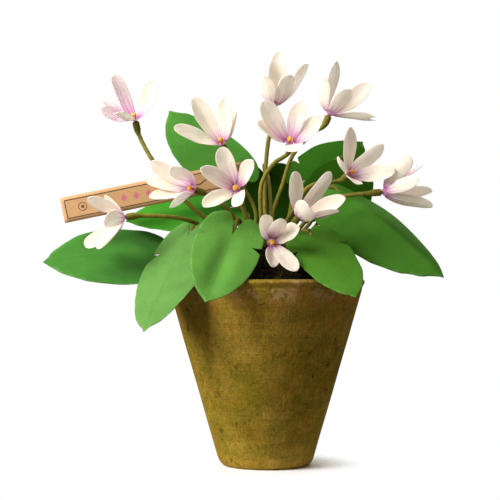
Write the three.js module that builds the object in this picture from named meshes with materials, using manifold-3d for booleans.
// A potted violet made of paper: a tapered clay pot holds a foam plug and a mound of moss, and in
// the moss stand twelve five-petalled flowers and ten heart-shaped leaves, each on its own wrapped
// wire stem, with a blank kraft label tucked among them.
// Millimetres, +Z up. The origin is the centre of the pot's underside, and -Y is the front.
import * as THREE from 'three';
import { mergeVertices } from 'three/addons/utils/BufferGeometryUtils.js';
import Module from 'manifold-3d';

const wasm = await Module();
wasm.setup();

// ---- Driving dimensions ----
const gap = 0.3; // left between pieces that touch

const potHeight = 95;
const rimRadius = 51;
const footRadius = 23.5;
const potWall = 6;
const potFloor = 8;
const potSides = 36;

const plugTop = 80;
const mossEdge = 91; // height of the moss where it meets the pot
const mossTop = 112;
const mossSides = 24;

const stemRadius = 1.05;
const petioleRadius = 0.95;
const stemSides = 6;
const stemStep = 7.5; // length of one straight stretch of a stem
const stemFoot = 86; // height of a stem's lower end, inside the moss
const stemHoleRoom = 0.5; // room round a stem in its hole

const receptacleRadius = 1.9; // the wrapped swelling under a flower
const receptacleLength = 10;

const petalBaseShare = 0.34; // width at the root, as a share of the full width
const petalTipShare = 0.36; // the same at the blunt tip
const petalWidest = 0.56; // how far along a petal it is widest
const petalThickness = 0.7;
const petalCup = 0.24; // how far its edges curl in, as a share of its half width
const petalClaw = 0.4; // how far along a petal its twist is complete
const petalSteps = [0, 0.2, 0.42, 0.66, 0.87, 1];
const throatRadius = 1.9; // the petals stand in a ring of this radius
const throatDepth = 1.6;

const stamenRadius = 1.0;
const stamenHeight = 2.6;

const leafThickness = 0.7;
const sinusGap = 0.9; // between a petiole's end and the blade it carries

const labelLength = 96;
const labelWidth = 13.2;
const labelThickness = 0.8;

// ---- Colours ----
const colours = {
  clay: { color: 0x7d6423, roughness: 0.95, metalness: 0 },
  foam: { color: 0x3c4a2a, roughness: 1, metalness: 0 },
  moss: { color: 0x2a2410, roughness: 1, metalness: 0 },
  stem: { color: 0x77712a, roughness: 0.85, metalness: 0 },
  leaf: { color: 0x4b9138, roughness: 0.9, metalness: 0 },
  petal: { color: 0xf0e6da, roughness: 0.9, metalness: 0 },
  stamen: { color: 0xe6a21e, roughness: 0.8, metalness: 0 },
  kraft: { color: 0xc39a6b, roughness: 0.95, metalness: 0 },
};

// ---- Where each flower and leaf stands ----
// heart: where the petals meet. faces: the way the flower opens. root: where the stem enters the
// moss. via: points that the stem passes on its way up. petals: from the heart to each petal's tip,
// then its full width, how far it is twisted about its length, in degrees, and how far it bows
// outwards near its root, as a share of its length.
const flowers = [
  { heart: [-67, -5, 177], faces: [-0.2, -0.35, 0.9], root: [-7, -2],
    via: [[-20, -5, 120], [-32, -9, 127], [-42, -8, 136], [-58, -6, 156]],
    petals: [[-11.5, 6, 23.5, 8.5, 12, 0.04], [9.5, 2, 20, 9.5, 36, 0.02], [-17, 7, 10, 8, 2, 0.02],
      [-17.5, -4, 4.5, 8.5, -40, 0.03], [-7.5, -15, 1.5, 8, 2, 0.05]] },
  { heart: [-22.5, -2, 165], faces: [-0.3, -0.5, 0.8], root: [-5, 3.5],
    via: [[-9, 3, 122], [-13, 0, 140], [-15.5, -1, 153]],
    petals: [[-15, 2, 24, 9.5, -6, 0.04], [2, -4, 23, 9, 16, 0.04], [-24.5, -5, 7.5, 9, -28, 0.02],
      [7, 3, 17, 9, -8, 0.06], [-12.5, 12, 20.5, 8.5, 44, 0.05]] },
  { heart: [-36.5, -22, 140], faces: [-0.75, -0.6, 0.25], root: [-8, -7],
    via: [[-13, -10, 122], [-22, -15, 133]],
    petals: [[-21.5, 3, 14, 9.5, -18, 0.04], [-24, 6, 4.5, 8.5, 28, 0.03], [-22, 0, -4, 8.5, 18, 0.03],
      [-10, -11, 10.5, 9.5, 46, 0.06], [-10.5, -13, -9, 9, 32, 0.03]] },
  { heart: [-71.5, -20, 126], faces: [-0.85, -0.3, -0.1], root: [-12, -5],
    via: [[-22, -6, 116], [-32, -6, 122], [-44, -12, 126]],
    petals: [[-17, -6, 9.5, 9, 38, 0.01], [-10.5, 9, 11, 8.5, -4, 0.02], [-18.5, -5, -15, 9.5, -40, 0.03],
      [-14, 7, -15.5, 8.5, 0, 0.04], [-8, -14, -2.5, 9.5, -20, 0.05]] },
  { heart: [-15, -28, 140], faces: [-0.1, -0.9, 0.1], root: [-3, -10],
    via: [[-7, -14, 121], [-13, -18, 134]],
    petals: [[-17.5, -9, 9, 9, 22, 0], [-7, -6, 20, 9.5, -18, 0.03], [8.5, -11, 13, 8.5, -20, 0.03],
      [-16, -8, -9.5, 9, 22, 0], [3, -13, -8.5, 9.5, 24, 0]] },
  { heart: [5, 8, 186], faces: [0.05, 0.1, 1], root: [1, 1],
    via: [[-0.5, 4, 136], [1.5, 6, 167]],
    petals: [[-8.5, 2, 25.5, 8.5, 26, 0.1], [2, 8, 29, 9, 0, 0.05], [17.5, 2, 21.5, 8.5, -28, 0.05],
      [-6, -11, 13.5, 9, -8, 0.1], [8, -11, 14, 9, -2, 0.09]] },
  { heart: [12, -12, 164.5], faces: [0.1, -0.7, 0.65], root: [-1, -5],
    via: [[-2.5, -5, 128], [-2, -5, 144], [4, -6, 154]],
    petals: [[-13.5, -4, 20.5, 10, -36, 0.04], [6, -6, 20, 9.5, -14, 0.05], [15.5, -7, 11.5, 9.5, 24, 0.05],
      [3.5, -13, -6, 10, 16, 0], [-16.5, -2, 10, 8.5, 4, 0.06]] },
  { heart: [33.5, 5, 181], faces: [0.45, 0.1, 0.85], root: [6, 2],
    via: [[3.5, 6, 127], [8.5, 7, 143], [14.5, 7, 160], [26, 6, 172]],
    petals: [[-4.5, -7, 18, 8.5, 12, 0.1], [4, 7, 28.5, 8.5, -22, 0.04], [21, 7, 16.5, 9.5, 52, 0.03],
      [9.5, -12, 11, 9, 16, 0.05], [24, -3, -3.5, 8.5, -12, 0]] },
  { heart: [42.5, -12, 148.5], faces: [0.5, -0.75, 0.35], root: [8, -4],
    via: [[10.5, -6, 124], [16, -8, 133], [22, -8, 142]],
    petals: [[0, -2, 23.5, 8.5, 0, 0.03], [16.5, -4, 14.5, 9, 32, 0.03], [22, -8, 0.5, 9.5, 12, 0.03],
      [-6, -14, 6, 8, 38, 0.08], [2.5, -15, -6.5, 8.5, 10, 0]] },
  { heart: [59.5, -15, 139], faces: [0.97, 0.15, 0.1], root: [12, -6],
    via: [[15, -8, 118], [26, -11, 130], [40, -13, 137]],
    petals: [[13, -5, 17.5, 9.5, 48, 0.06], [20.5, 13, 15, 8, 52, 0.06], [16, -12, 5.5, 8.5, -16, 0.04],
      [25, 4, 0.5, 9, -44, 0.02], [24, -4, -7.5, 9, 0, 0.04]] },
  { heart: [16.5, -26, 126.5], faces: [0.5, -0.6, 0.6], root: [6, -9.5],
    via: [[7, -15, 118]],
    petals: [[-2.5, -2, 22, 8.5, -14, 0.05], [15.5, 1, 22, 8.5, 28, 0.03], [22.5, -6, 8.5, 10, 12, 0.03],
      [4, -13, 4, 12, -14, 0.05], [19, -9, 2, 8.5, -50, 0.06]] },
  { heart: [2.5, -32, 113], faces: [0.1, -0.95, 0.05], root: [2, -15],
    via: [],
    petals: [[-4.5, -8, 13, 9, 20, 0.04], [4, -11, 11.5, 9, 22, 0.02], [13.5, -9, 7, 9, -28, 0.02],
      [12, -12, -14, 8.5, -14, -0.02], [0, -12, -12, 7.5, -22, 0]] },
];

// base: the bottom of the notch between the lobes, where the petiole ends. up: the way the upper
// face looks. bend: how far the blade arches down from base to tip, in degrees. fold: how far each
// half slopes down from the midrib, in degrees. root and via: as for a flower's stem. notch: how
// much further the notch runs into the blade, in leaf lengths. uncut: no snips in its margins.
const leaves = [
  { base: [-58.5, 1, 107.5], tip: [-114, -9, 103.5], up: [0, -0.66, 0.75], width: 45, bend: 18,
    fold: 3, root: [-16, 0], via: [[-30, 1, 107]], uncut: true },
  { base: [-39.5, -15, 117], tip: [-59, -53, 69.5], up: [-0.49, -0.7, 0.52], width: 40, bend: 8,
    fold: 8, root: [-13, -10], via: [[-24, -12, 114]] },
  { base: [-15.5, -31.4, 120.5], tip: [-29, -65.9, 84], up: [0.22, -0.72, 0.66], width: 33, bend: 6,
    fold: 4, root: [-6, -15], via: [[-10, -20, 117]], notch: 0.1 },
  { base: [-17.5, 19, 151], tip: [-52.5, 39, 187], up: [0.24, -0.78, 0.58], width: 40, bend: 5,
    fold: 8, root: [-8, 9], via: [[-5, 14, 129]], uncut: true },
  { base: [-20, 20, 133], tip: [-74, 11, 125], up: [0, -0.5, 0.87], width: 42, bend: 14,
    fold: 5, root: [-12, 4], via: [[-17, 13, 121]], uncut: true },
  { base: [23, -21.5, 116], tip: [42.5, -56, 86], up: [0.08, -0.66, 0.75], width: 31, bend: 6,
    fold: 5, root: [11, -11], via: [[17, -17, 112]] },
  { base: [40, 2, 140], tip: [90, -18, 95.5], up: [0.13, -0.61, 0.78], width: 50, bend: 22,
    fold: 31, root: [13, 1], via: [[23, 5, 124]], uncut: true },
  { base: [22.5, 42, 149.5], tip: [55, 54, 171.5], up: [-0.14, -0.66, 0.74], width: 43, bend: 18,
    fold: 9, root: [10, 7], via: [[13, 23, 130]] },
  { base: [0.5, 66, 153], tip: [5, 88, 114], up: [0, 0.87, 0.48], width: 41, bend: 14,
    fold: 6, root: [2, 10], via: [[3, 25, 130], [2, 45, 150]] },
  { base: [30, 28, 128], tip: [54, 28.5, 162], up: [-0.1, -1, 0.05], width: 38, bend: 14,
    fold: 6, root: [15, 6], via: [[22, 13, 120]] },
];

// Half of a leaf's outline, from the bottom of the notch round one lobe to the tip, as Bezier
// curves. The first number runs along the midrib in leaf lengths, the second across in half widths.
const leafOutline = [
  [[0, 0], [-0.1, 0.06], [-0.25, 0.24], [-0.17, 0.58]],
  [[-0.17, 0.58], [-0.12, 0.84], [-0.02, 0.99], [0.25, 1]],
  [[0.25, 1], [0.56, 0.98], [0.8, 0.68], [0.92, 0.24]],
  [[0.92, 0.24], [0.95, 0.13], [0.965, 0.04], [1, 0]],
];
const snipPlace = 0.47; // a snip in each margin, as a share of the half outline
const snipHalfWidth = 0.03;
const snipDepth = 0.24; // as a share of the way to the hub
const notchReach = 0.12; // how much of the half outline a deeper notch takes up
const outlineSteps = 13;
const leafHub = 0.06; // the rings of a blade's grid lie round this place on the midrib
const leafRings = [0.5, 1]; // as shares of the way from the hub to the margin

// ---- Helpers ----
const vector = (p) => new THREE.Vector3(...p);

function solidOf(geometry) {
  const bare = geometry.clone();
  bare.deleteAttribute('normal');
  bare.deleteAttribute('uv');
  const merged = mergeVertices(bare, 1e-4);
  const triVerts = new Uint32Array(merged.index.array);
  const vertProperties = merged.attributes.position.array;
  return new wasm.Manifold(new wasm.Mesh({ numProp: 3, vertProperties, triVerts }));
}

function geometryOf(solid) {
  const { vertProperties, triVerts } = solid.getMesh();
  const geometry = new THREE.BufferGeometry();
  geometry.setAttribute('position', new THREE.BufferAttribute(vertProperties, 3));
  geometry.setIndex(new THREE.BufferAttribute(triVerts, 1));
  return geometry;
}

function meshOf(name, geometry, colour) {
  const mesh = new THREE.Mesh(geometry, new THREE.MeshStandardMaterial(colour));
  mesh.name = name;
  return mesh;
}

// The part of a direction that is square to an axis, at unit length.
function squareTo(direction, axis) {
  return direction.clone().addScaledVector(axis, -direction.dot(axis)).normalize();
}

// Gives an open sheet a thickness: both faces are the sheet moved along its normals, with the
// same triangles, and a rim joins them.
function thicken(sheet, thickness) {
  sheet.computeVertexNormals();
  const { position, normal } = sheet.attributes;
  const count = position.count;
  const corners = new Float32Array(count * 6);
  for (let i = 0; i < count; i++) {
    const point = new THREE.Vector3().fromBufferAttribute(position, i);
    const offset = new THREE.Vector3().fromBufferAttribute(normal, i).multiplyScalar(thickness / 2);
    point.clone().add(offset).toArray(corners, i * 3);
    point.sub(offset).toArray(corners, (i + count) * 3);
  }
  const faces = sheet.index.array;
  const index = [];
  const edges = new Set();
  for (let i = 0; i < faces.length; i += 3) {
    const [a, b, c] = faces.slice(i, i + 3);
    index.push(a, b, c, c + count, b + count, a + count);
    for (const [from, to] of [[a, b], [b, c], [c, a]]) edges.add(`${from} ${to}`);
  }
  for (const edge of edges) {
    const [from, to] = edge.split(' ').map(Number);
    if (edges.has(`${to} ${from}`)) continue;
    index.push(to, from, from + count, to, from + count, to + count);
  }
  const solid = new THREE.BufferGeometry();
  solid.setAttribute('position', new THREE.BufferAttribute(corners, 3));
  solid.setIndex(index);
  return solid;
}

// A plane grid whose points are put in place by pointAt(across, along), both from 0 to 1. Points
// that fall together are merged, and the triangles that this flattens are left out.
function gridSheet(across, along, pointAt) {
  const plane = new THREE.PlaneGeometry(1, 1, across, along);
  const { uv } = plane.attributes;
  const corners = [];
  for (let i = 0; i < uv.count; i++) corners.push(...pointAt(uv.getX(i), uv.getY(i)).toArray());
  plane.setAttribute('position', new THREE.Float32BufferAttribute(corners, 3));
  plane.deleteAttribute('normal');
  plane.deleteAttribute('uv');
  const merged = mergeVertices(plane, 1e-4);
  const kept = [];
  for (let i = 0; i < merged.index.count; i += 3) {
    const face = [...merged.index.array.slice(i, i + 3)];
    if (new Set(face).size === 3) kept.push(...face);
  }
  merged.setIndex(kept);
  return merged;
}

// A tube with closed ends along a curve. radiusAt takes the distance from the far end.
function closedTube(curve, radiusAt) {
  const length = curve.getLength();
  const steps = Math.max(4, Math.round(length / stemStep));
  const tube = new THREE.TubeGeometry(curve, steps, 1, stemSides);
  const ring = stemSides + 1;
  const corners = [...tube.attributes.position.array];
  for (let i = 0; i <= steps; i++) {
    const centre = curve.getPointAt(i / steps);
    const radius = radiusAt(length * (1 - i / steps));
    for (let j = 0; j < ring; j++) {
      const at = (i * ring + j) * 3;
      const corner = new THREE.Vector3().fromArray(corners, at).sub(centre);
      corner.multiplyScalar(radius).add(centre).toArray(corners, at);
    }
  }
  const first = corners.length / 3;
  corners.push(...curve.getPointAt(0).toArray(), ...curve.getPointAt(1).toArray());
  const index = [...tube.index.array];
  for (let j = 0; j < stemSides; j++) {
    const last = steps * ring + j;
    index.push(first, j, j + 1, first + 1, last + 1, last);
  }
  const closed = new THREE.BufferGeometry();
  closed.setAttribute('position', new THREE.Float32BufferAttribute(corners, 3));
  closed.setIndex(index);
  const merged = mergeVertices(closed, 1e-4);
  return merged;
}

// ---- Pot, foam and moss ----
const outerRadiusAt = (z) => footRadius + ((rimRadius - footRadius) * z) / potHeight;
const innerRadiusAt = (z) => outerRadiusAt(z) - potWall;

function potGeometry() {
  const rimRound = 1.6;
  const profile = [
    [0, 0],
    [footRadius - 3, 0],
    [footRadius - 1, 0.6],
    [outerRadiusAt(3), 3],
    [outerRadiusAt(potHeight - rimRound), potHeight - rimRound],
    [rimRadius - rimRound, potHeight],
    [rimRadius - potWall + rimRound, potHeight],
    [innerRadiusAt(potHeight - rimRound), potHeight - rimRound],
    [innerRadiusAt(potFloor), potFloor],
    [0, potFloor],
  ];
  return lathed(profile, potSides);
}

function lathed(profile, sides) {
  const points = profile.map(([radius, z]) => new THREE.Vector2(radius, z));
  return new THREE.LatheGeometry(points, sides).rotateX(Math.PI / 2);
}

const plugProfile = [
  [0, potFloor + gap],
  [innerRadiusAt(potFloor) - gap - 0.2, potFloor + gap],
  [innerRadiusAt(plugTop) - gap - 0.2, plugTop],
  [0, plugTop],
];

const mossRadius = innerRadiusAt(mossEdge) - gap - 0.2;
const mossHeightAt = (radius) => mossEdge + (mossTop - mossEdge) * (1 - (radius / mossRadius) ** 2);

function mossGeometry() {
  const profile = [[0, plugTop + gap], [innerRadiusAt(plugTop) - gap - 0.2, plugTop + gap]];
  for (const share of [1, 0.86, 0.7, 0.52, 0.3, 0]) {
    profile.push([mossRadius * share, mossHeightAt(mossRadius * share)]);
  }
  const dome = lathed(profile, mossSides);
  const { position } = dome.attributes;
  for (let i = 0; i < position.count; i++) {
    const [x, y, z] = [position.getX(i), position.getY(i), position.getZ(i)];
    if (z < mossEdge + 1) continue;
    const lumps = Math.sin(x * 0.31 + 1) * Math.cos(y * 0.27) + 0.6 * Math.sin(y * 0.5 + x * 0.4);
    position.setZ(i, z + lumps);
  }
  return dome;
}

// ---- Stems ----
function stemCurve(root, via, end) {
  const surface = mossHeightAt(Math.hypot(...root));
  const points = [
    [...root, stemFoot],
    [...root, surface - 3],
    [...root, surface + 3],
    ...via,
  ].map(vector);
  return new THREE.CatmullRomCurve3([...points, ...end], false, 'centripetal');
}

function stemHole(root) {
  const hole = new THREE.CylinderGeometry(1, 1, mossTop, stemSides).rotateX(Math.PI / 2);
  const radius = (stemRadius + stemHoleRoom) / Math.cos(Math.PI / stemSides);
  return hole.scale(radius, radius, 1).translate(...root, mossTop / 2 + stemFoot - gap);
}

// ---- Flowers ----
// A petal's width, as a share of its greatest width.
function petalWidthAt(along) {
  if (along < petalWidest) {
    const grown = Math.sin((along / petalWidest) * (Math.PI / 2)) ** 1.15;
    return petalBaseShare + (1 - petalBaseShare) * grown;
  }
  const past = (along - petalWidest) / (1 - petalWidest);
  return Math.max(petalTipShare, (1 - past ** 2.6) ** 0.56);
}

// A petal starts on the throat's ring, bows away from the flower's axis and ends at its tip.
function petalSolid(heart, axis, [x, y, z, width, twist, bow]) {
  const tip = new THREE.Vector3(x, y, z);
  const start = squareTo(tip, axis).multiplyScalar(throatRadius);
  const chord = tip.clone().sub(start);
  const ahead = chord.clone().normalize();
  const inward = squareTo(axis, ahead);
  const last = petalSteps.length - 1;
  const sheet = gridSheet(2, last, (across, step) => {
    const along = petalSteps[Math.round(step * last)];
    const turn = THREE.MathUtils.degToRad(twist * Math.min(1, along / petalClaw));
    const rise = inward.clone().applyAxisAngle(ahead, turn);
    const side = new THREE.Vector3().crossVectors(ahead, rise);
    const half = (width * petalWidthAt(along)) / 2;
    const span = across * 2 - 1;
    const curl = petalCup * half * span * span * Math.min(1, along * 2);
    const swing = 6.75 * along * (1 - along) ** 2 * bow * chord.length();
    return heart.clone().add(start).addScaledVector(chord, along).addScaledVector(side, span * half)
      .addScaledVector(rise, curl).addScaledVector(inward, -swing);
  });
  return solidOf(thicken(sheet, petalThickness));
}

function along(geometry, axis, at) {
  const turn = new THREE.Quaternion().setFromUnitVectors(new THREE.Vector3(0, 1, 0), axis);
  return geometry.applyQuaternion(turn).translate(at.x, at.y, at.z);
}

function bloomGeometry(heart, axis, petals) {
  const cup = new THREE.CylinderGeometry(throatRadius + 0.5, receptacleRadius, throatDepth, 8);
  const middle = heart.clone().addScaledVector(axis, -throatDepth / 2 + 0.5);
  let bloom = solidOf(along(cup, axis, middle));
  for (const reach of petals) bloom = bloom.add(petalSolid(heart, axis, reach));
  return geometryOf(largestBody(bloom));
}

function largestBody(solid) {
  return solid.decompose().reduce((best, body) => (body.volume() > best.volume() ? body : best));
}

// A stub with a crown of small anthers, standing in the throat.
function stamenGeometry(heart, axis) {
  const foot = heart.clone().addScaledVector(axis, 0.5 + gap);
  const stub = new THREE.CylinderGeometry(stamenRadius * 0.6, stamenRadius * 0.8, stamenHeight, 5);
  let crown = solidOf(along(stub, axis, foot.clone().addScaledVector(axis, stamenHeight / 2)));
  const sideways = squareTo(new THREE.Vector3(0.3, 0.2, 1), axis);
  for (let i = 0; i < 3; i++) {
    const out = sideways.clone().applyAxisAngle(axis, (i * Math.PI * 2) / 3);
    const at = foot.clone().addScaledVector(axis, stamenHeight).addScaledVector(out, 0.5);
    crown = crown.add(solidOf(along(new THREE.OctahedronGeometry(0.8), axis, at)));
  }
  return geometryOf(crown);
}

function flowerStem(flower, heart, axis) {
  const end = [receptacleLength, throatDepth - 0.5 + gap].map((back) =>
    heart.clone().addScaledVector(axis, -back));
  const curve = stemCurve(flower.root, flower.via, end);
  const swollen = receptacleRadius - stemRadius;
  return closedTube(curve, (left) =>
    stemRadius + swollen * THREE.MathUtils.smoothstep(receptacleLength - left, 0, receptacleLength / 2));
}

// ---- Leaves ----
const halfOutline = new THREE.CurvePath();
for (const corners of leafOutline) {
  halfOutline.add(new THREE.CubicBezierCurve(...corners.map(([a, b]) => new THREE.Vector2(a, b))));
}

// The whole margin, from the notch round both lobes and the tip, with a snip in each side of most leaves.
function leafMargin(notch, uncut) {
  const hub = new THREE.Vector2(notch + leafHub, 0);
  const places = uncut ? [] : [snipPlace - snipHalfWidth, snipPlace, snipPlace + snipHalfWidth];
  for (let i = 0; i <= outlineSteps; i++) {
    const place = i / outlineSteps;
    if (uncut || Math.abs(place - snipPlace) > snipHalfWidth * 1.5) places.push(place);
  }
  const half = places.sort((a, b) => a - b).map((place) => {
    const snip = snipDepth * Math.max(0, 1 - Math.abs(place - snipPlace) / snipHalfWidth);
    const cut = uncut ? 0 : snip;
    const point = halfOutline.getPoint(place);
    point.x += notch * Math.max(0, 1 - place / notchReach);
    return point.lerp(hub, cut);
  });
  const other = half.slice(0, -1).reverse().map((point) => new THREE.Vector2(point.x, -point.y));
  return [...half, ...other];
}

// The frame of an arched midrib from base to tip: it leaves the base along forward, and its
// radius and length make it end at the tip.
function leafFrame(leaf) {
  const base = vector(leaf.base);
  const chord = vector(leaf.tip).sub(base);
  const reach = chord.length();
  const ahead = chord.normalize();
  const above = squareTo(vector(leaf.up), ahead);
  const half = THREE.MathUtils.degToRad(leaf.bend) / 2;
  const radius = reach / 2 / Math.sin(half);
  const forward = ahead.clone().multiplyScalar(Math.cos(half)).addScaledVector(above, Math.sin(half));
  const up = above.clone().multiplyScalar(Math.cos(half)).addScaledVector(ahead, -Math.sin(half));
  const side = new THREE.Vector3().crossVectors(forward, up);
  return { base, forward, up, side, radius, length: radius * half * 2 };
}

function bladeGeometry(leaf) {
  const { base, forward, up, side, radius, length } = leafFrame(leaf);
  const fold = THREE.MathUtils.degToRad(leaf.fold);
  const notch = leaf.notch ?? 0;
  const margin = leafMargin(notch, leaf.uncut);
  const last = margin.length - 1;
  const shares = [0, ...leafRings];
  const sheet = gridSheet(last, leafRings.length, (across, outward) => {
    const edge = margin[Math.round(across * last)];
    const share = shares[Math.round(outward * leafRings.length)];
    const turn = (THREE.MathUtils.lerp(notch + leafHub, edge.x, share) * length) / radius;
    const span = (edge.y * share * leaf.width) / 2;
    const drop = radius * (1 - Math.cos(turn)) + Math.abs(span) * Math.sin(fold) * Math.cos(turn);
    const run = radius * Math.sin(turn) - Math.abs(span) * Math.sin(fold) * Math.sin(turn);
    return base.clone().addScaledVector(forward, run).addScaledVector(up, -drop)
      .addScaledVector(side, span * Math.cos(fold));
  });
  return thicken(sheet, leafThickness);
}

// The petiole rises from the moss and ends just under the notch, in line with the midrib.
function petioleGeometry(leaf) {
  const { base, forward, up } = leafFrame(leaf);
  const under = base.clone().addScaledVector(up, -leafThickness / 2 - petioleRadius - gap * 1.5);
  const end = [8, sinusGap].map((back) => under.clone().addScaledVector(forward, -back));
  return closedTube(stemCurve(leaf.root, leaf.via, end), () => petioleRadius);
}

// ---- Label ----
const labelMiddle = [-57.5, 1, 140];
const labelEnd = [-11, 8, 150];

function labelGeometry() {
  const ahead = vector(labelEnd).sub(vector(labelMiddle)).normalize();
  const face = squareTo(new THREE.Vector3(0, -1, 0.1), ahead);
  const across = new THREE.Vector3().crossVectors(face, ahead);
  const turned = new THREE.Matrix4().makeBasis(ahead, across, face).setPosition(...labelMiddle);
  return new THREE.BoxGeometry(labelLength, labelWidth, labelThickness).applyMatrix4(turned);
}

// ---- The whole plant ----
const plant = new THREE.Group();
plant.add(meshOf('pot', potGeometry(), colours.clay));
plant.add(meshOf('foam_plug', lathed(plugProfile, mossSides), colours.foam));

const roots = [...flowers, ...leaves].map(({ root }) => root);
const moss = roots.reduce((left, root) => left.subtract(solidOf(stemHole(root))), solidOf(mossGeometry()));
plant.add(meshOf('moss_mound', geometryOf(moss), colours.moss));

flowers.forEach((flower, i) => {
  const name = `flower_${String(i + 1).padStart(2, '0')}`;
  const heart = vector(flower.heart);
  const axis = vector(flower.faces).normalize();
  plant.add(meshOf(`${name}_stem`, flowerStem(flower, heart, axis), colours.stem));
  plant.add(meshOf(`${name}_petals`, bloomGeometry(heart, axis, flower.petals), colours.petal));
  plant.add(meshOf(`${name}_stamens`, stamenGeometry(heart, axis), colours.stamen));
});

leaves.forEach((leaf, i) => {
  const name = `leaf_${String(i + 1).padStart(2, '0')}`;
  plant.add(meshOf(`${name}_petiole`, petioleGeometry(leaf), colours.stem));
  plant.add(meshOf(`${name}_blade`, bladeGeometry(leaf), colours.leaf));
});

plant.add(meshOf('label', labelGeometry(), colours.kraft));

export default plant;
